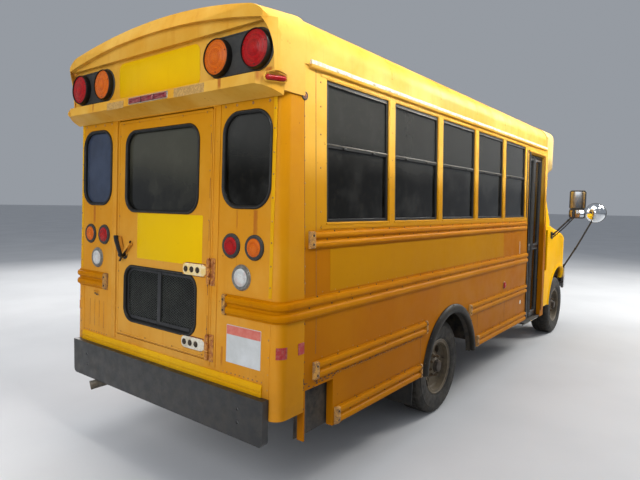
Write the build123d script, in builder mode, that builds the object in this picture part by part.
"""Short school bus: van cab and nose, narrow passenger body, single rear wheels.

Lengths are millimetres. s is the station forward of the rear wall's foot, y is left,
z is up from the ground. x in the part's own frame is s - MID.
"""

import os
from math import cos, radians, sin

from build123d import *

os.makedirs("parts", exist_ok=True)

# ---- driving dimensions ------------------------------------------------------------
MID = 3218.77  # station of the origin, half way along the whole bus
HALF_W = 1016  # half the body's width at the skirt, an 80 inch body
TOP_HALF = 985  # half the width at the drip rail
LEAN_Z = 1090  # the side walls lean inwards above this height
RAIL_Z = 2450  # drip rail: walls below, roof above
CROWN_Z = 2822  # top of the roof on the centre line
EAVE_R = 185  # outer radius where wall turns into roof
WALL_T = 45  # thickness of a wall, skin to lining
SKIRT_Z = 436  # lower edge of the side skirts
FLOOR_LOW, FLOOR_TOP = 740, 800
POST_S = 204  # rear corner posts end and the side walls begin
CAP_S = 250  # rear roof cap ends and the roof skin begins
CAP_CORNER_R = 150  # of the rear cap in plan
CAP_FALL = 0.105  # slope of the rear cap's top
CAP_RECESS_Z = (2360, 2621)
BODY_END = 4990  # front end of the passenger body
REAR_LEAN = 1.536  # degrees that the rear wall leans forward
LEAN_FOOT_Z = 739  # height at which the rear wall stands at s = 0

REAR_AXLE, WHEELBASE = 2080, 3680
FRONT_AXLE = REAR_AXLE + WHEELBASE
HUB_Z = 388  # LT245/75R16 tyre, 776 mm over the tread
TYRE_R, TYRE_W, BEAD_R = 388, 240, 208
REAR_HUB_Y, FRONT_HUB_Y, KINGPIN_Y = 830, 860, 772
ARCH_S, ARCH_R, FLARE_R = 2140, 455, 525
FENDER_ARCH = (FRONT_AXLE + 20, 430, 505)  # s, z and radius of the front wheel arch

WIN_Z = (1615, 2405)
WIN_S = [(400, 1077), (1160, 1828), (1915, 2585), (2672, 3336), (3419, 4083)]
ENTRY = (4225, 4850, 400, 2350)  # s0, s1, z0, z1 of the entry doorway
REAR_DOOR = (-473, 478, 826, 2247)  # y0, y1, z0, z1 of the rear door leaf
GAP = 5  # running gap round a door

NOSE_S = (5250, 6440)  # firewall to grille
NOSE_HALF = 1000
NOSE_CORNER_R = 470
PANEL_Z = 875  # lower edge of the fenders and front panel above the bumper
HOOD_HALF = 745

SLOPE = (HALF_W - TOP_HALF) / (RAIL_Z - LEAN_Z)
LEAN = radians(REAR_LEAN)


def X(s):
    """x in the part's frame of station s"""
    return s - MID


def wall_y(z):
    """half width of the body's outer skin at height z"""
    return HALF_W - max(0, z - LEAN_Z) * SLOPE


# plane of the rear wall's skin: local x is to the right (-y), local y up the wall
REAR = Plane(
    origin=(X(0), 0, LEAN_FOOT_Z),
    x_dir=(0, -1, 0),
    z_dir=(-cos(LEAN), 0, sin(LEAN)),
)


def save(piece, name):
    piece.part.label = name
    export_step(piece.part, f"parts/{name}.step")


def bars(rows, mode=Mode.ADD):
    """blocks from a table with columns s0, s1, y0, y1, z0, z1"""
    for s0, s1, y0, y1, z0, z1 in rows:
        with Locations((X((s0 + s1) / 2), (y0 + y1) / 2, (z0 + z1) / 2)):
            Box(s1 - s0, y1 - y0, z1 - z0, mode=mode)


def body_section(s, grow=0, bottom=SKIRT_Z):
    """closed cross-section of the body at station s, grown or pulled in by grow"""
    eave_z = 2695
    eave_y = wall_y(eave_z) + grow
    with BuildSketch(Plane.YZ.offset(X(s))) as section:
        with BuildLine():
            foot = [(wall_y(bottom) + grow, bottom)]
            if bottom < LEAN_Z:
                foot.append((HALF_W + grow, LEAN_Z))
            Polyline(
                (-eave_y, eave_z + grow),
                *[(-y, z) for y, z in reversed(foot)],
                *foot,
                (eave_y, eave_z + grow),
            )
            ThreePointArc(
                (eave_y, eave_z + grow), (0, CROWN_Z + grow), (-eave_y, eave_z + grow)
            )
        make_face()
        fillet(section.vertices().group_by(Axis.Y)[-1], EAVE_R + grow)
    return section.sketch


def wall_band(side, s0, s1, z0, z1, out=0, thick=WALL_T, mode=Mode.ADD):
    """a length of side wall between two heights; side is -1 right, +1 left"""
    heights = [z0] + ([LEAN_Z] if z0 < LEAN_Z < z1 else []) + [z1]
    outer = [(side * (wall_y(z) + out), z) for z in heights]
    inner = [(side * (wall_y(z) + out - thick), z) for z in reversed(heights)]
    with BuildSketch(Plane.YZ.offset(X(s0))) as band:
        Polygon(*outer, *inner, align=None)
    extrude(band.sketch, amount=s1 - s0, mode=mode)


def side_hole(side, s0, s1, z0, z1, r=0, depth=(850, 1150)):
    """cuts a rectangular opening through a side wall"""
    with BuildSketch(Plane.XZ.offset(-depth[1] if side > 0 else depth[0])) as hole:
        with Locations((X((s0 + s1) / 2), (z0 + z1) / 2)):
            if r:
                RectangleRounded(s1 - s0, z1 - z0, r)
            else:
                Rectangle(s1 - s0, z1 - z0)
    extrude(hole.sketch, amount=depth[1] - depth[0], mode=Mode.SUBTRACT)


def side_disc(side, s, z, r, y0, y1, mode=Mode.ADD):
    """a cylinder across the bus on one side, from y0 to y1 measured outwards"""
    with Locations((X(s), side * (y0 + y1) / 2, z)):
        Cylinder(r, y1 - y0, rotation=(90, 0, 0), mode=mode)


def tube(points, r, mode=Mode.ADD):
    """straight round runs with a ball at each inner corner; points are s, y, z"""
    spots = [Vector(X(s), y, z) for s, y, z in points]
    for a, b in zip(spots, spots[1:]):
        with BuildSketch(Plane(origin=a, z_dir=b - a)) as run:
            Circle(r)
        extrude(run.sketch, amount=(b - a).length, mode=mode)
    for p in spots[1:-1]:
        with Locations(p):
            Sphere(r, mode=mode)


# ---- chassis ------------------------------------------------------------------------
RAIL_Y = (425, 485)  # inner and outer face of a frame rail
CROSS = [  # s0, s1, half_y
    (90, 150, 960),
    (800, 860, 960),
    (1480, 1540, 960),
    (2700, 2760, 960),
    (3350, 3410, 960),
    (4060, 4120, 960),
]
with BuildPart() as frame_rails:
    for side in (-1, 1):
        bars([(-5, 6290, *sorted((side * RAIL_Y[0], side * RAIL_Y[1])), 560, 700)])
    bars([(s0, s1, -h, h, 700, FLOOR_LOW) for s0, s1, h in CROSS])
    bars([(6200, 6290, -RAIL_Y[0], RAIL_Y[0], 580, 680)])
save(frame_rails, "frame_rails")

with BuildPart() as engine:
    bars([(5180, 6000, -270, 270, 470, 1080)])
    with Locations((X(4900), 0, 560)):
        Cylinder(150, 560, rotation=(0, 90, 0))
save(engine, "engine")

with BuildPart() as drive_shaft:
    tube([(2264, 0, 400), (4612, 0, 520)], 38)
save(drive_shaft, "drive_shaft")

with BuildPart() as fuel_tank:
    bars([(2850, 3950, -930, -510, 450, 690)])
    fillet(fuel_tank.edges().filter_by(Axis.X), 60)
save(fuel_tank, "fuel_tank")

with BuildPart() as exhaust:
    tube([(4560, 330, 480), (3900, 522, 500), (330, 522, 500), (-70, 690, 428)], 30)
    with Locations((X(3400), 590, 520)):
        Cylinder(85, 620, rotation=(0, 90, 0))
    with BuildSketch(
        Plane(origin=(X(-70), 690, 428), z_dir=Vector(400, -168, 72))
    ):
        Circle(26)
    extrude(amount=180, mode=Mode.SUBTRACT)
save(exhaust, "exhaust_pipe")

with BuildPart() as rear_axle:
    with Locations((X(REAR_AXLE), 0, HUB_Z)):
        Cylinder(50, 2 * (REAR_HUB_Y - 50), rotation=(90, 0, 0))
        Sphere(165)
    bars([(REAR_AXLE, REAR_AXLE + 175, -45, 45, 355, 435)])
save(rear_axle, "rear_axle")

with BuildPart() as rear_springs:
    for side in (-1, 1):
        with BuildSketch(Plane.XZ.offset(-side * 610 if side > 0 else 560)):
            with BuildLine():
                ThreePointArc(
                    (X(1420), 545), (X(REAR_AXLE), 442), (X(2740), 545)
                )
                Line((X(2740), 545), (X(2740), 585))
                ThreePointArc(
                    (X(2740), 585), (X(REAR_AXLE), 482), (X(1420), 585)
                )
                Line((X(1420), 585), (X(1420), 545))
            make_face()
        extrude(amount=50)
        y0, y1 = sorted((side * 486, side * 612))
        bars([(1415, 1475, y0, y1, 575, 640), (2685, 2745, y0, y1, 575, 640)])
save(rear_springs, "rear_springs")

with BuildPart() as front_suspension:
    bars([(FRONT_AXLE - 60, FRONT_AXLE + 60, -480, 480, 300, 400)])
    for side in (-1, 1):
        y0, y1 = sorted((side * 425, side * 485))
        bars([(FRONT_AXLE - 60, FRONT_AXLE + 60, y0, y1, 400, 560)])
        a0, a1 = sorted((side * 470, side * (KINGPIN_Y + 18)))
        bars([(FRONT_AXLE - 26, FRONT_AXLE + 26, a0, a1, 262, 286)])
        bars([(FRONT_AXLE - 26, FRONT_AXLE + 26, a0, a1, 490, 512)])
        b0, b1 = sorted((side * 425, side * 485))
        bars([(FRONT_AXLE - 60, FRONT_AXLE + 60, b0, b1, 262, 300)])
save(front_suspension, "front_suspension")

for side, name in ((1, "left"), (-1, "right")):
    with BuildPart() as knuckle:
        with Locations((X(FRONT_AXLE), side * KINGPIN_Y, 388)):
            Cylinder(20, 200)
        side_disc(side, FRONT_AXLE, HUB_Z, 34, KINGPIN_Y, FRONT_HUB_Y - 30)
        y0, y1 = sorted((side * (KINGPIN_Y - 62), side * (KINGPIN_Y)))
        bars([(FRONT_AXLE - 12, FRONT_AXLE + 12, y0, y1, 375, 401)])
        bars([(FRONT_AXLE - 150, FRONT_AXLE, *sorted((side * (KINGPIN_Y - 62), side * (KINGPIN_Y - 38))), 378, 398)])
    save(knuckle, f"knuckle_{name}")

# ---- wheels -------------------------------------------------------------------------
WHEELS = [  # name, side, s, hub_y
    ("rear_right", -1, REAR_AXLE, REAR_HUB_Y),
    ("rear_left", 1, REAR_AXLE, REAR_HUB_Y),
    ("front_right", -1, FRONT_AXLE, FRONT_HUB_Y),
    ("front_left", 1, FRONT_AXLE, FRONT_HUB_Y),
]
for name, side, s, hub_y in WHEELS:
    # across: local x is the distance outwards from the wheel's mid plane, y the radius
    across = Plane(origin=(X(s), side * hub_y, HUB_Z), x_dir=(0, side, 0), z_dir=(side, 0, 0))
    with BuildPart() as tyre:
        with BuildSketch(across) as cut:
            with BuildLine():
                Polyline(
                    (-92, BEAD_R),
                    (-92, 224),
                    (-118, 268),
                    (-120, 318),
                    (-98, TYRE_R - 8),
                    (-70, TYRE_R),
                    (70, TYRE_R),
                    (98, TYRE_R - 8),
                    (120, 318),
                    (118, 268),
                    (92, 224),
                    (92, BEAD_R),
                    close=True,
                )
            make_face()
        revolve(axis=Axis((X(s), side * hub_y, HUB_Z), (0, 1, 0)))
    save(tyre, f"tyre_{name}")
    with BuildPart() as wheel:
        with BuildSketch(across):
            with BuildLine():
                Polyline(
                    (-94, BEAD_R),
                    (94, BEAD_R),
                    (94, 221),
                    (101, 221),
                    (101, BEAD_R - 8),
                    (58, BEAD_R - 16),
                    (44, 178),
                    (44, 108),
                    (30, 92),
                    (72, 66),
                    (90, 52),
                    (90, 0.0),
                    (-18, 0.0),
                    (-18, 60),
                    (20, 92),
                    (32, 112),
                    (32, 186),
                    (20, BEAD_R - 14),
                    (-94, BEAD_R - 8),
                    close=True,
                )
            make_face()
        revolve(axis=Axis((X(s), side * hub_y, HUB_Z), (0, 1, 0)))
        for turn in (53, 143, 233, 323):
            spot = (X(s) + 146 * cos(radians(turn)), HUB_Z + 146 * sin(radians(turn)))
            with Locations((spot[0], side * (hub_y + 38), spot[1])):
                Cylinder(33, 60, rotation=(90, 0, 0), mode=Mode.SUBTRACT)
    save(wheel, f"wheel_{name}")

# ---- floor and step well ------------------------------------------------------------
HOUSING = (REAR_AXLE - 480, REAR_AXLE + 480, 690, 960)  # s0, s1, inner y, top z
with BuildPart() as floor:
    bars([(50, 5235, -971, 971, FLOOR_LOW, FLOOR_TOP)])
    for side in (-1, 1):
        y0, y1 = sorted((side * (HOUSING[2] - 12), side * 971))
        bars([(HOUSING[0] - 12, HOUSING[1] + 12, y0, y1, FLOOR_LOW, HOUSING[3] + 12)])
        y0, y1 = sorted((side * HOUSING[2], side * 980))
        bars([(HOUSING[0], HOUSING[1], y0, y1, FLOOR_LOW - 5, HOUSING[3])], Mode.SUBTRACT)
    bars([(ENTRY[0] - 30, ENTRY[1] + 30, -980, -560, 700, 900)], Mode.SUBTRACT)
    bars([(4150, 5300, 955, 980, 700, 900), (4880, 5300, -980, -955, 700, 900)], Mode.SUBTRACT)
    # engine hump between the front seats
    bars([(4960, 5235, -330, 330, FLOOR_TOP, 1120)])
    bars([(4985, 5240, -300, 300, FLOOR_LOW - 5, 1095)], Mode.SUBTRACT)
save(floor, "floor")

with BuildPart() as step_well:
    bars(
        [  # s0, s1, y0, y1, z0, z1
            (4226, 4849, -1008, -770, 378, 396),
            (4210, 4865, -782, -770, 396, 580),
            (4210, 4865, -782, -575, 580, 598),
            (4210, 4865, -587, -560, 598, FLOOR_TOP),
            (4196, 4211, -925, -560, 396, 700),
            (4864, 4879, -925, -560, 396, 700),
        ]
    )
save(step_well, "step_well")

# ---- passenger body -----------------------------------------------------------------
NOTCH = (215, 470, SKIRT_Z - 5, 715)  # cut-out in the skirt ahead of the corner post

for side, name in ((-1, "right_wall"), (1, "left_wall")):
    with BuildPart() as wall:
        wall_band(side, POST_S, BODY_END, SKIRT_Z, RAIL_Z)
        for s0, s1 in WIN_S:
            side_hole(side, s0, s1, *WIN_Z)
        side_hole(side, *NOTCH)
        side_disc(side, ARCH_S, HUB_Z, ARCH_R, 880, 1100, Mode.SUBTRACT)
        side_hole(side, ARCH_S - ARCH_R, ARCH_S + ARCH_R, 300, HUB_Z)
        if side < 0:
            side_hole(side, ENTRY[0], ENTRY[1], 300, ENTRY[3])
            wall_band(side, ENTRY[1], BODY_END, 375, SKIRT_Z)
        else:
            side_hole(side, 4165, BODY_END + 10, 300, 1990)
    save(wall, name)

# space ahead of the rear wall, whose back leans with the wall so that its thickness stays even
with BuildPart() as cabin_hollow:
    with BuildSketch(Plane.YZ.offset(X(-60))):
        with BuildLine():
            Polyline(
                (-971, 500),
                (971, 500),
                (971, LEAN_Z),
                (wall_y(2400) - WALL_T, 2400),
                (-wall_y(2400) + WALL_T, 2400),
                (-971, LEAN_Z),
                close=True,
            )
        make_face()
    extrude(amount=POST_S + 260)
    inner = REAR.offset(-WALL_T)
    split(bisect_by=Plane(inner.origin, z_dir=inner.z_dir), keep=Keep.BOTTOM)

with BuildPart() as rear_wall:
    extrude(body_section(-120), amount=POST_S + 120)
    split(bisect_by=Plane(REAR.origin, z_dir=REAR.z_dir), keep=Keep.BOTTOM)
    split(bisect_by=Plane.XY.offset(2280), keep=Keep.BOTTOM)
    split(bisect_by=Plane.XY.offset(600), keep=Keep.TOP)
    corners = [
        e
        for e in rear_wall.edges()
        if e.center().X < X(60) and abs(e.center().Y) > 900 and e.length > 200
        and abs(e.tangent_at(0.5).Z) > 0.9
    ]
    fillet(corners, 65)
    add(cabin_hollow.part, mode=Mode.SUBTRACT)
    bars([(-60, 300, -900, 900, 590, 705)], Mode.SUBTRACT)
    with BuildSketch(REAR):
        with Locations((-(REAR_DOOR[0] + REAR_DOOR[1]) / 2, (REAR_DOOR[2] + REAR_DOOR[3]) / 2 - LEAN_FOOT_Z)):
            RectangleRounded(
                REAR_DOOR[1] - REAR_DOOR[0] + 2 * GAP, REAR_DOOR[3] - REAR_DOOR[2] + 2 * GAP, 20
            )
        for side in (-1, 1):
            with Locations((side * 742, 1950 - LEAN_FOOT_Z)):
                RectangleRounded(350, 500, 110)
    extrude(amount=-160, both=True, mode=Mode.SUBTRACT)
save(rear_wall, "rear_wall")

with BuildPart() as roof:
    extrude(body_section(CAP_S), amount=BODY_END - 40 - CAP_S)
    extrude(body_section(CAP_S - 10, -WALL_T, 300), amount=BODY_END, mode=Mode.SUBTRACT)
    split(bisect_by=Plane.XY.offset(RAIL_Z), keep=Keep.TOP)
    for side in (-1, 1):
        y0, y1 = sorted((side * (TOP_HALF - 8), side * (TOP_HALF + 16)))
        bars([(CAP_S, BODY_END - 70, y0, y1, RAIL_Z, RAIL_Z + 22)])
save(roof, "roof")

# rear cap: overhanging fibreglass end with a recess for the lamps
with BuildPart() as rear_cap:
    extrude(body_section(-85, 8), amount=CAP_S + 85)
    # its top falls away towards the rear
    extrude(body_section(CAP_S, 8), amount=345, dir=(-1, 0, -CAP_FALL), mode=Mode.INTERSECT)
    with BuildSketch(Plane.XZ.offset(-1200)) as profile:
        with BuildLine():
            Polyline(
                (X(-80), 2305),
                (X(36), 2256),
                (X(41), 2281),
                (X(CAP_S), 2281),
                (X(CAP_S), 2900),
                (X(25), 2900),
                (X(-55), 2700),
                close=True,
            )
        make_face()
    extrude(amount=2400, mode=Mode.INTERSECT)
    # rounded corners in plan
    with BuildSketch(Plane.XY.offset(2200)) as plan:
        Polygon((X(-90), -997), (X(400), -997), (X(400), 997), (X(-90), 997), align=None)
        fillet(plan.vertices().group_by(Axis.X)[0], CAP_CORNER_R)
    extrude(plan.sketch, amount=800, mode=Mode.INTERSECT)
    extrude(body_section(34, -WALL_T, 2000), amount=CAP_S, mode=Mode.SUBTRACT)
    bars([(POST_S, CAP_S + 5, -1100, 1100, 2200, RAIL_Z)], Mode.SUBTRACT)
    # recess for the lamps, open at both sides, under a shallow arched visor
    bars([(-130, 0, -1100, 1100, *CAP_RECESS_Z)], Mode.SUBTRACT)
    with BuildSketch(Plane.YZ.offset(X(-130))) as under:
        with BuildLine():
            Polyline((-1100, 2585), (-1100, 2500), (1100, 2500), (1100, 2585))
            ThreePointArc((1100, 2585), (0, 2715), (-1100, 2585))
        make_face()
    extrude(under.sketch, amount=102, mode=Mode.SUBTRACT)
save(rear_cap, "rear_cap")

# front cap: a visor over the windscreen
with BuildPart() as front_cap:
    extrude(body_section(BODY_END - 40, 6, 1980), amount=640)
    with BuildSketch(Plane.XZ.offset(-1200)) as profile:
        with BuildLine():
            Polyline(
                (X(BODY_END - 40), 2451),
                (X(BODY_END), 2451),
                (X(BODY_END), 2000),
                (X(5080), 2060),
                (X(5480), 2370),
                (X(5545), 2440),
                (X(5515), 2590),
                (X(5340), 2755),
                (X(5120), 2835),
                (X(BODY_END - 40), 2835),
                close=True,
            )
        make_face()
    extrude(amount=2400, mode=Mode.INTERSECT)
    # rounded corners in plan, and drawn in below towards the cab
    with BuildSketch(Plane.XY.offset(1900)) as plan:
        with BuildLine():
            Polyline((X(5450), -993), (X(4900), -993), (X(4900), 993), (X(5450), 993))
            ThreePointArc((X(5450), 993), (X(5560), 0), (X(5450), -993))
        make_face()
        fillet(plan.vertices().group_by(Axis.X)[-1], 330)
    extrude(plan.sketch, amount=1000, mode=Mode.INTERSECT)
    with BuildSketch(Plane.YZ.offset(X(4800))) as front_view:
        Polygon(
            (-1100, 2270), (-1000, 2270), (-800, 2000), (-800, 1900), (800, 1900), (800, 2000), (1000, 2270),
            (1100, 2270), (1100, 2900), (-1100, 2900), align=None,
        )
    extrude(front_view.sketch, amount=900, mode=Mode.INTERSECT)
    extrude(body_section(BODY_END - 50, -WALL_T, 2250), amount=330, mode=Mode.SUBTRACT)
    # sides of the opening stay closed where the cap narrows
    with BuildSketch(Plane.YZ.offset(X(BODY_END))) as cheek:
        for side in (-1, 1):
            Polygon((side * 962, 2270), (side * 762, 2000), (side * 800, 2000), (side * 990, 2258), (side * 985, 2320), (side * 940, 2320), align=None)
    extrude(cheek.sketch, amount=60)
save(front_cap, "front_cap")

RAILS = [  # name, z0, z1, out, spans on right, spans on left
    ("upper", 1480, 1577, 20, [(230, 4130)], [(230, 4130)]),
    ("mid", 1105, 1222, 22, [(POST_S, 4190)], [(POST_S, 4130)]),
    ("low", 758, 860, 20, [(270, 1668), (2492, 4190)], [(270, 1668), (2492, 4130)]),
    ("skirt", 438, 545, 16, [(480, 1600), (2690, 4190)], [(480, 1600), (2690, 4130)]),
]
with BuildPart() as rub_rails:
    for _, z0, z1, out, right, left in RAILS:
        for side, spans in ((-1, right), (1, left)):
            for s0, s1 in spans:
                wall_band(side, s0, s1, z0, z0 + (z1 - z0) * 0.42, out, out)
                wall_band(side, s0, s1, z0 + (z1 - z0) * 0.58, z1, out, out)
                wall_band(side, s0, s1, z0 + (z1 - z0) * 0.42, z0 + (z1 - z0) * 0.58, 6, 6)
save(rub_rails, "rub_rails")

with BuildPart() as arch_flares:
    for side in (-1, 1):
        side_disc(side, ARCH_S, HUB_Z, FLARE_R, 1016.5, 1038)
        side_disc(side, ARCH_S, HUB_Z, ARCH_R, 1000, 1100, Mode.SUBTRACT)
        y0, y1 = sorted((side * 1000, side * 1100))
        bars([(ARCH_S - 600, ARCH_S + 600, y0, y1, -200, 446)], Mode.SUBTRACT)
        # clear of the rails' ends
        for s0, s1, z0, z1 in ((1500, 1672, 750, 868), (2488, 2700, 750, 868), (1500, 1604, 430, 550), (2686, 2800, 430, 550)):
            bars([(s0, s1, y0, y1, z0, z1)], Mode.SUBTRACT)
save(arch_flares, "arch_flares")

with BuildPart() as mud_flaps:
    for side in (-1, 1):
        y0, y1 = sorted((side * 640, side * 968))
        bars([(1552, 1562, y0, y1, 215, 739)])
save(mud_flaps, "mud_flaps")

with BuildPart() as rear_bumper:
    bars([(-50, -6, -955, 955, 470, 715)])
    fillet(
        [e for e in rear_bumper.edges().filter_by(Axis.X) if e.center().Z < 500], 30
    )
    bars([(-42, 0, -945, 945, 480, 705)], Mode.SUBTRACT)
    for side in (-1, 1):
        y0, y1 = sorted((side * RAIL_Y[0], side * RAIL_Y[1]))
        bars([(-42, -5, y0, y1, 560, 700)])
        with Locations((X(-46), side * 770, 632), (X(-46), side * 770, 560)):
            Cylinder(9, 30, rotation=(0, 90, 0), mode=Mode.SUBTRACT)
save(rear_bumper, "rear_bumper")

# ---- nose ---------------------------------------------------------------------------
def nose_plan(grow, z0, z1, mode=Mode.ADD):
    with BuildSketch(Plane.XY.offset(z0)) as plan:
        with BuildLine():
            half = NOSE_HALF + grow
            front = NOSE_S[1] + grow
            Polyline(
                (X(front - 40), half), (X(NOSE_S[0]), half), (X(NOSE_S[0]), -half), (X(front - 40), -half)
            )
            ThreePointArc((X(front - 40), -half), (X(front), 0), (X(front - 40), half))
        make_face()
        fillet(plan.vertices().group_by(Axis.X)[-1], NOSE_CORNER_R + grow)
    extrude(plan.sketch, amount=z1 - z0, mode=mode)


def nose_profile(grow, mode, z0=470):
    with BuildSketch(Plane.XZ.offset(-1200)) as profile:
        with BuildLine():
            Polyline(
                (X(NOSE_S[0]), z0),
                (X(NOSE_S[1] + grow + 10), z0),
                (X(NOSE_S[1] + grow + 10), 1210),
                (X(6330 + grow * 0.5), 1335 + grow * 0.8),
                (X(5430), 1500 + grow),
                (X(NOSE_S[0]), 1540 + grow),
                close=True,
            )
        make_face()
        fillet(
            [v for v in profile.vertices() if 1150 < v.Y < 1480 and v.X > X(6200)], 70
        )
    extrude(profile.sketch, amount=2400, mode=mode)


def nose_shell():
    nose_plan(0, 470, 1700)
    nose_profile(0, Mode.INTERSECT)


with BuildPart() as nose_outer:
    nose_shell()
    shoulder = [
        e
        for e in nose_outer.edges()
        if e.center().Z > 1200 and abs(e.center().Y) > NOSE_HALF - 5
    ]
    fillet(shoulder, 90)

with BuildPart() as nose_inner:
    nose_plan(-34, 400, 1700)
    nose_profile(-34, Mode.INTERSECT, 400)

with BuildPart() as front_fenders:
    add(nose_outer.part)
    add(nose_inner.part, mode=Mode.SUBTRACT)
    bars([(5200, 6600, -HOOD_HALF - 10, HOOD_HALF + 10, 300, 1700)], Mode.SUBTRACT)
    for side in (-1, 1):
        side_disc(side, *FENDER_ARCH, 700, 1100, Mode.SUBTRACT)
        y0, y1 = sorted((side * 700, side * 1100))
        bars([(FENDER_ARCH[0] - FENDER_ARCH[2], FENDER_ARCH[0], y0, y1, 300, FENDER_ARCH[1])], Mode.SUBTRACT)
        bars([(FRONT_AXLE, 6600, y0, y1, 300, 700), (6190, 6600, y0, y1, 300, PANEL_Z)], Mode.SUBTRACT)
    bars([(5200, 5448, -905, 905, 1300, 1700)], Mode.SUBTRACT)
save(front_fenders, "front_fenders")

with BuildPart() as hood:
    add(nose_outer.part)
    add(nose_inner.part, mode=Mode.SUBTRACT)
    bars([(5450, 6335, -HOOD_HALF, HOOD_HALF, 1240, 1700)], Mode.INTERSECT)
save(hood, "hood")

GRILLE_Z = (925, 1165)
HEADLAMP_Y = (480, 715)
with BuildPart() as front_panel:
    add(nose_outer.part)
    add(nose_inner.part, mode=Mode.SUBTRACT)
    bars([(6200, 6600, -HOOD_HALF - 9, HOOD_HALF + 9, PANEL_Z, 1700)], Mode.INTERSECT)
    bars([(6100, 6342, -HOOD_HALF - 20, HOOD_HALF + 20, 1232, 1700)], Mode.SUBTRACT)
    bars([(6100, 6600, -440, 440, *GRILLE_Z)], Mode.SUBTRACT)
    for side in (-1, 1):
        y0, y1 = sorted((side * HEADLAMP_Y[0], side * HEADLAMP_Y[1]))
        bars([(6100, 6600, y0, y1, *GRILLE_Z)], Mode.SUBTRACT)
save(front_panel, "front_panel")

with BuildPart() as grille:
    z0, z1 = GRILLE_Z
    bars([(6386, 6408, -438, 438, z0 + 2, z0 + 20), (6386, 6408, -438, 438, z1 - 20, z1 - 2)])
    bars([(6386, 6408, -438, 438, z, z + 14) for z in (970, 1007, 1044, 1081, 1118)])
    bars([(6386, 6408, y, y + 20, z0 + 2, z1 - 2) for y in (-438, -230, -10, 210, 418)])
save(grille, "grille")

with BuildPart() as headlamps:
    nose_plan(-6, GRILLE_Z[0] + 4, GRILLE_Z[1] - 4)
    nose_plan(-64, GRILLE_Z[0] + 4, GRILLE_Z[1] - 4, Mode.SUBTRACT)
    bars([(6200, 6600, 4 - HEADLAMP_Y[1], HEADLAMP_Y[1] - 4, 800, 1300)], Mode.INTERSECT)
    bars([(6200, 6600, -4 - HEADLAMP_Y[0], HEADLAMP_Y[0] + 4, 800, 1300)], Mode.SUBTRACT)
save(headlamps, "headlamps")

BUMPER_Z = (572, 862)
with BuildPart() as front_bumper:
    with BuildSketch(Plane.XY.offset(BUMPER_Z[0])) as plan:
        with BuildLine():
            Polyline((X(6385), 955), (X(6230), 975), (X(6230), 940), (X(6370), 905))
            ThreePointArc((X(6370), 905), (X(6452), 0), (X(6370), -905))
            Polyline((X(6370), -905), (X(6230), -940), (X(6230), -975), (X(6385), -955))
            ThreePointArc((X(6385), -955), (X(6520), 0), (X(6385), 955))
        make_face()
    extrude(plan.sketch, amount=BUMPER_Z[1] - BUMPER_Z[0])
    for side in (-1, 1):
        y0, y1 = sorted((side * RAIL_Y[0], side * RAIL_Y[1]))
        bars([(6290, 6470, y0, y1, 560, 700)])
save(front_bumper, "front_bumper")

# ---- cab ----------------------------------------------------------------------------
SIDE_PANELS = [  # side, outline in s and z of the panel or pillar beside the windscreen
    (-1, [(4992, 1498), (5249, 1498), (5249, 1556), (5060, 1800), (5000, 1930), (4992, 1997)]),
    (
        1,
        [(5172, 1498), (5249, 1498), (5249, 1556), (5060, 1800), (5003, 1930), (4998, 1986),
         (4926, 1986), (4930, 1900), (4992, 1765)],
    ),
]
with BuildPart() as cab_frame:
    bars([(5236, 5249, -960, 960, 700, 1500)])  # firewall
    bars([(5230, 5255, -305, 305, 690, 1125)], Mode.SUBTRACT)
    for side, outline in SIDE_PANELS:
        with BuildSketch(Plane.XZ.offset(-985 if side > 0 else 906)):
            Polygon(*[(X(s), z) for s, z in outline], align=None)
        extrude(amount=79)
    # right side panel between the doorway post and the fender, with its narrow window
    bars([(BODY_END + 2, 5249, -1000, -958, 470, 1500)])
    bars([(5045, 5140, -1050, -900, 930, 1450)], Mode.SUBTRACT)
    # left sill and hinge post
    bars([(4165, 5249, 958, 1000, 440, 494), (5166, 5249, 958, 1000, 494, 1500)])
    # cowl under the windscreen
    bars([(5249, 5444, -900, 900, 1440, 1466)])
    # bulkhead beside the narrowed foot of the front cap
    with BuildSketch(Plane.YZ.offset(X(4992))) as bulkhead:
        for side in (-1, 1):
            Polygon(
                (side * 806, 1998), (side * 978, 2232), (side * 978, 1950), (side * 908, 1950), (side * 908, 1994),
                (side * 806, 1994), align=None,
            )
    extrude(bulkhead.sketch, amount=10)
    # header over the windscreen
    bars([(4925, 4985, -906, 906, 1955, 1986)])
    for side in (-1, 1):
        side_disc(side, *FENDER_ARCH, 600, 1100, Mode.SUBTRACT)
save(cab_frame, "cab_frame")

with BuildPart() as windshield:
    with BuildSketch(Plane.XZ.offset(-900)):
        Polygon(
            (X(5385), 1468), (X(5396), 1468), (X(5001), 1992), (X(4990), 1992), align=None
        )
    extrude(amount=1800)
save(windshield, "windshield")

HUB = (5000, 450, 1370)  # middle of the steering wheel: s, y, z
RAKE = radians(35)
WHEEL_PLANE = Plane(origin=(X(HUB[0]), HUB[1], HUB[2]), z_dir=(-cos(RAKE), 0, sin(RAKE)))
with BuildPart() as steering_wheel:
    with BuildSketch(
        Plane(origin=WHEEL_PLANE.origin, x_dir=(0, 1, 0), z_dir=(sin(RAKE), 0, cos(RAKE)))
    ):
        with Locations((195, 0)):
            Circle(14)
    revolve(axis=Axis(WHEEL_PLANE.origin, WHEEL_PLANE.z_dir))
    with BuildSketch(WHEEL_PLANE):
        Circle(55)
    extrude(amount=-40)
    with BuildSketch(WHEEL_PLANE.offset(-18)):
        Rectangle(392, 34)
        Rectangle(34, 392)
    extrude(amount=14)
    with BuildSketch(WHEEL_PLANE.offset(-30)):
        Circle(28)
    extrude(amount=-90)
save(steering_wheel, "steering_wheel")

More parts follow.
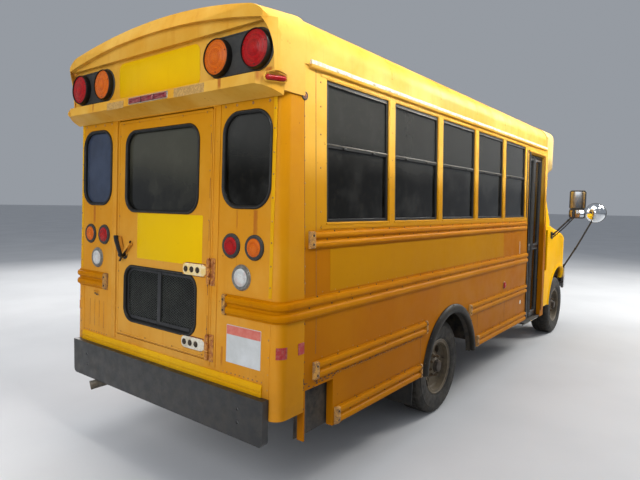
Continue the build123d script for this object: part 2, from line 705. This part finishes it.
with BuildPart() as dashboard:
    with BuildSketch(Plane.XZ.offset(-900)):
        Polygon(
            (X(5235), 1135), (X(5235), 1400), (X(5180), 1400), (X(5080), 1330), (X(5060), 1180), (X(5100), 1135),
            align=None,
        )
    extrude(amount=1600)
    add(steering_wheel.part, mode=Mode.SUBTRACT)
save(dashboard, "dashboard")

# ---- seats --------------------------------------------------------------------------
BENCHES = (190, 900, 1640, 2380, 3120, 3840)  # station of each bench's back
with BuildPart() as bench_seats:
    for s in BENCHES:
        for side in (-1, 1):
            if side < 0 and s > 3500:
                continue
            y0, y1 = sorted((side * 215, side * 955))
            bars(
                [
                    (s + 60, s + 470, y0, y1, 1110, 1220),
                    (s, s + 70, y0, y1, 1110, 1560),
                ]
            )
            leg0, leg1 = sorted((side * 240, side * 270))
            bars([(s + 90, s + 430, leg0, leg1, FLOOR_TOP, 1110)])
            foot = FLOOR_TOP if s + 430 < HOUSING[0] - 12 or s + 90 > HOUSING[1] + 12 else HOUSING[3] + 12
            leg0, leg1 = sorted((side * 860, side * 890))
            bars([(s + 90, s + 430, leg0, leg1, foot, 1110)])
save(bench_seats, "bench_seats")

with BuildPart() as driver_seat:
    bars(
        [  # s0, s1, y0, y1, z0, z1
            (4410, 4870, 200, 700, 1080, 1200),
            (4330, 4430, 210, 690, 1120, 1760),
            (4330, 4430, 310, 590, 1760, 1900),
            (4440, 4800, 270, 630, FLOOR_TOP, 1080),
        ]
    )
save(driver_seat, "driver_seat")

# ---- side window frames and glass ---------------------------------------------------
with BuildPart() as window_frames:
    for side in (-1, 1):
        for s0, s1 in WIN_S:
            z0, z1 = WIN_Z
            wall_band(side, s0, s1, z0, z1, -8, 28)
            mid = z0 + (z1 - z0) * 0.55
            side_hole(side, s0 + 24, s1 - 24, z0 + 24, mid - 12)
            side_hole(side, s0 + 24, s1 - 24, mid + 12, z1 - 24)
save(window_frames, "window_frames")

with BuildPart() as window_glass:
    for side in (-1, 1):
        for s0, s1 in WIN_S:
            z0, z1 = WIN_Z
            mid = z0 + (z1 - z0) * 0.55
            wall_band(side, s0 + 24.5, s1 - 24.5, z0 + 24.5, mid - 12.5, -22, 5)
            wall_band(side, s0 + 24.5, s1 - 24.5, mid + 12.5, z1 - 24.5, -18, 5)
        # corner windows of the rear wall
        with BuildSketch(REAR.offset(-14)):
            with Locations((side * 742, 1950 - LEAN_FOOT_Z)):
                RectangleRounded(349, 499, 109)
        extrude(amount=-8)
    # narrow window between the entry door and the cab
    bars([(5046, 5139, -984, -978, 931, 1449)])
save(window_glass, "window_glass")

# ---- rear door ----------------------------------------------------------------------
DOOR_MID = (-(REAR_DOOR[0] + REAR_DOOR[1]) / 2, (REAR_DOOR[2] + REAR_DOOR[3]) / 2 - LEAN_FOOT_Z)
DOOR_PANES = [  # local x of middle, z of middle, width, height, corner radius
    (-16, 1915, 731, 510, 95),
    (-14, 1116, 732, 356, 85),
]
with BuildPart() as rear_door:
    with BuildSketch(REAR):
        with Locations(DOOR_MID):
            RectangleRounded(REAR_DOOR[1] - REAR_DOOR[0], REAR_DOOR[3] - REAR_DOOR[2], 16)
    extrude(amount=-WALL_T)
    with BuildSketch(REAR):
        for x, z, w, h, r in DOOR_PANES:
            with Locations((x, z - LEAN_FOOT_Z)):
                RectangleRounded(w, h, r)
    extrude(amount=-WALL_T * 2, both=True, mode=Mode.SUBTRACT)
    # hinge straps on the right edge, lever handle on the left
    with BuildSketch(REAR):
        for z in (1331, 900):
            with Locations((348, z - LEAN_FOOT_Z)):
                Rectangle(216, 66)
        with Locations((-385, 1375 - LEAN_FOOT_Z)):
            Circle(30)
    extrude(amount=9)
    with BuildSketch(REAR.offset(9)):
        with BuildLine():
            Polyline((-372, 1355 - 739), (-400, 1345 - 739), (-450, 1480 - 739), (-425, 1490 - 739), close=True)
        make_face()
        with BuildLine():
            Polyline((-400, 1350 - 739), (-385, 1368 - 739), (-300, 1455 - 739), (-292, 1438 - 739), close=True)
        make_face()
    extrude(amount=22)
save(rear_door, "rear_door")

with BuildPart() as rear_door_glass:
    with BuildSketch(REAR.offset(-18)):
        for x, z, w, h, r in DOOR_PANES:
            with Locations((x, z - LEAN_FOOT_Z)):
                RectangleRounded(w - 1, h - 1, r - 0.5)
    extrude(amount=-8)
save(rear_door_glass, "rear_door_glass")

# ---- entry door: two leaves hinged on the posts ---------------------------------------
LEAVES = [  # name, s0, s1
    ("rear", ENTRY[0] + 6, 4533),
    ("front", 4541, ENTRY[1] - 6),
]
LEAF_Y, LEAF_Z = (-962, -928), (404, 2342)
for name, s0, s1 in LEAVES:
    with BuildPart() as leaf:
        bars([(s0, s1, *LEAF_Y, *LEAF_Z)])
        side_hole(-1, s0 + 45, s1 - 45, 470, 1230, r=30)
        side_hole(-1, s0 + 45, s1 - 45, 1290, 2285, r=30)
    save(leaf, f"entry_door_{name}")
    with BuildPart() as pane:
        for z0, z1 in ((470, 1230), (1290, 2285)):
            bars([(s0 + 45.5, s1 - 45.5, -949, -943, z0 + 1, z1 - 1)])
            fillet(
                [e for e in pane.edges().filter_by(Axis.Y) if z0 <= e.center().Z <= z1], 29
            )
    save(pane, f"entry_glass_{name}")

# ---- driver door ----------------------------------------------------------------------
with BuildPart() as driver_door:
    wall_band(1, 4172, 5158, 500, 1982, -4, WALL_T)
    with BuildSketch(Plane.XZ.offset(-1100)):
        Polygon((X(5170), 1480), (X(5170), 2000), (X(4900), 2000), (X(4912), 1885), (X(4978), 1752), align=None)
        Polygon(
            (X(4250), 1330), (X(5040), 1330), (X(5040), 1560), (X(4935), 1700), (X(4860), 1900), (X(4250), 1900),
            align=None,
        )
    extrude(amount=300, mode=Mode.SUBTRACT)
save(driver_door, "driver_door")

with BuildPart() as driver_door_glass:
    wall_band(1, 4172, 5158, 1331, 1899, -20, 6)
    with BuildSketch(Plane.XZ.offset(-1100)):
        Polygon(
            (X(4250.5), 1330), (X(5039.5), 1330), (X(5039.5), 1560), (X(4934.5), 1700), (X(4859.5), 1900), (X(4250.5), 1900),
            align=None,
        )
    extrude(amount=300, mode=Mode.INTERSECT)
save(driver_door_glass, "driver_door_glass")

# ---- stop arm on the left wall ---------------------------------------------------------
STOP = (4110, 1065, 1350)  # s, y, z of the hinge line's middle
with BuildPart() as stop_arm:
    with BuildSketch(Plane.XZ.offset(-STOP[1] - 4)):
        with Locations((X(STOP[0] - 300), STOP[2])):
            RegularPolygon(228, 8, major_radius=False, rotation=22.5)
    extrude(amount=8)
    bars([(STOP[0] - 90, STOP[0] - 10, STOP[1] - 4, STOP[1] + 4, 1290, 1410)])
    with Locations((X(STOP[0]), STOP[1], STOP[2])):
        Cylinder(11, 150)
    for z in (1450, 1250):
        for y0, y1 in ((STOP[1] - 16, STOP[1] - 4), (STOP[1] + 4, STOP[1] + 16)):
            with Locations((X(STOP[0] - 300), (y0 + y1) / 2, z)):
                Cylinder(45, 12, rotation=(90, 0, 0))
save(stop_arm, "stop_arm")

with BuildPart() as stop_arm_base:
    bars([(4055, 4165, 1016.5, 1046, 1263, 1437)])
    bars([(4095, 4125, 1046, 1078, 1263, 1273), (4095, 4125, 1046, 1078, 1427, 1437)])
save(stop_arm_base, "stop_arm_base")

# ---- mirrors -----------------------------------------------------------------------------
with BuildPart() as mirrors:
    for side in (-1, 1):
        # flat mirror over a convex one, on a frame from the fender's shoulder
        y0, y1 = sorted((side * 1195, side * 1375))
        bars([(5350, 5385, y0, y1, 1732, 1958)])
        bars([(5350, 5390, y0, y1, 1612, 1722)])
        bars([(5270, 5330, *sorted((side * 1001, side * 1012)), 1340, 1420)])
        tube([(5300, side * 1016, 1380), (5345, side * 1210, 1600), (5400, side * 1285, 1640), (5400, side * 1285, 1900)], 11)
        bars([(5360, 5405, *sorted((side * 1273, side * 1297)), 1650, 1676)])
        bars([(5360, 5405, *sorted((side * 1273, side * 1297)), 1830, 1856)])
        # cross-view mirror on a tube from the bumper's end
        with Locations((X(6330), side * 1330, 1676)):
            Sphere(135)
        bars([(6345, 6600, *sorted((side * 1100, side * 1500)), 1500, 1850)], Mode.SUBTRACT)
        bars([(6288, 6332, *sorted((side * 924, side * 960)), BUMPER_Z[1], BUMPER_Z[1] + 12)])
        tube([(6310, side * 942, 868), (6322, side * 1110, 1180), (6330, side * 1290, 1560), (6335, side * 1330, 1676)], 12)
save(mirrors, "mirrors")

# ---- lamps ---------------------------------------------------------------------------------
CAP_LAMPS = [585, 855]  # y of the amber and red warning lamps
with BuildPart() as warning_lamps:
    for side in (-1, 1):
        for y in CAP_LAMPS:
            with Locations((X(-34), side * y, 2487)):
                Cylinder(94, 44, rotation=(0, 90, 0))
save(warning_lamps, "warning_lamps")

with BuildPart() as front_lamps:
    for side in (-1, 1):
        for s, y in ((5512, 500), (5475, 725)):
            with Locations((X(s), side * y, 2520)):
                Cylinder(90, 60, rotation=(0, 90, 0))
    add(front_cap.part, mode=Mode.SUBTRACT)
save(front_lamps, "front_warning_lamps")

TAIL_LAMPS = [  # y, z, radius
    (644, 1488, 56),
    (821, 1488, 56),
    (728, 1322, 56),
]
with BuildPart() as tail_lamps:
    with BuildSketch(REAR):
        for side in (-1, 1):
            for y, z, r in TAIL_LAMPS:
                with Locations((side * y, z - LEAN_FOOT_Z)):
                    Circle(r)
    extrude(amount=16)
save(tail_lamps, "tail_lamps")
